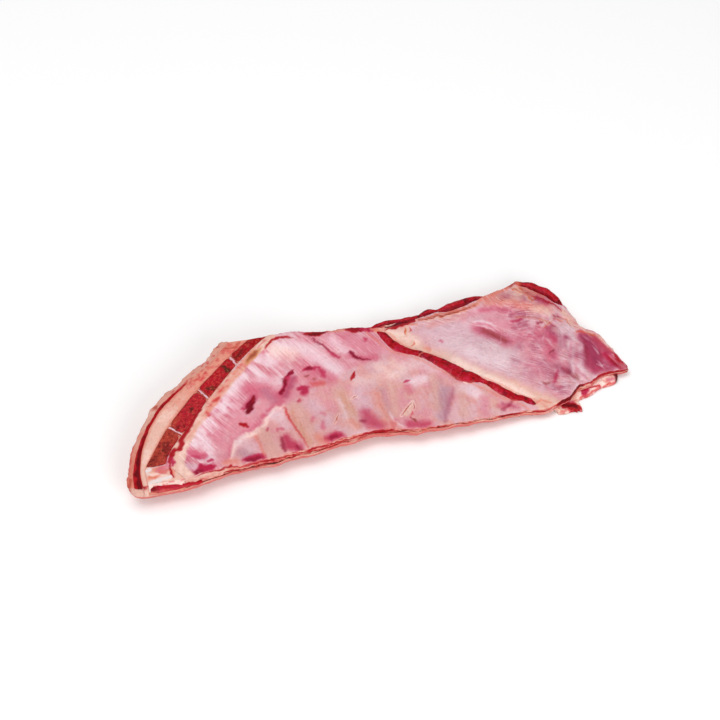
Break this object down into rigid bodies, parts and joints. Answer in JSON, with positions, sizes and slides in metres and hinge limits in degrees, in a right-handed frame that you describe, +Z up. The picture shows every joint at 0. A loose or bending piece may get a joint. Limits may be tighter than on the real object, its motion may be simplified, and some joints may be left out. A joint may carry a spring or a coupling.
{
  "type": "raw lamb breast",
  "caption": "Raw breast of lamb lying on its fat side, inside of the ribs up, with the sawn breastbone along the left edge, a dark red skirt strip across it and a thin flank.",
  "frame": {"origin": "on the resting plane, under the middle of the whole part's box", "axes": "+X along the breast from the sawn breastbone towards the flank, +Y from the sawn rib ends to the belly edge, +Z up, towards the inside of the ribs"},
  "size_m": [0.4112, 0.136, 0.0333],
  "materials": {
    "inner_face": "raw lean and fat under a thin wet membrane, glossy in places",
    "fat": "cold raw fat, waxy, satin",
    "muscle": "raw cut muscle, moist, satin",
    "bone": "sawn spongy bone, dark red marrow, moist",
    "cartilage": "smooth pale cartilage, slightly blue, satin"
  },
  "bodies": {
    "root": {"breast_wall": "inner_face", "outer_fat": "fat", "brisket_fat": "fat", "flank_under_layer": "fat", "brisket_muscle": "muscle", "skirt": "muscle", "front_muscle": "muscle", "edge_muscle_1": "muscle", "edge_muscle_2": "muscle", "edge_muscle_3": "muscle", "breastbone_1": "bone", "breastbone_2": "bone", "breastbone_3": "bone", "breastbone_4": "bone", "first_cartilage": "cartilage", "growth_plate_1": "cartilage", "growth_plate_2": "cartilage", "growth_plate_3": "cartilage"}
  },
  "joints": []
}
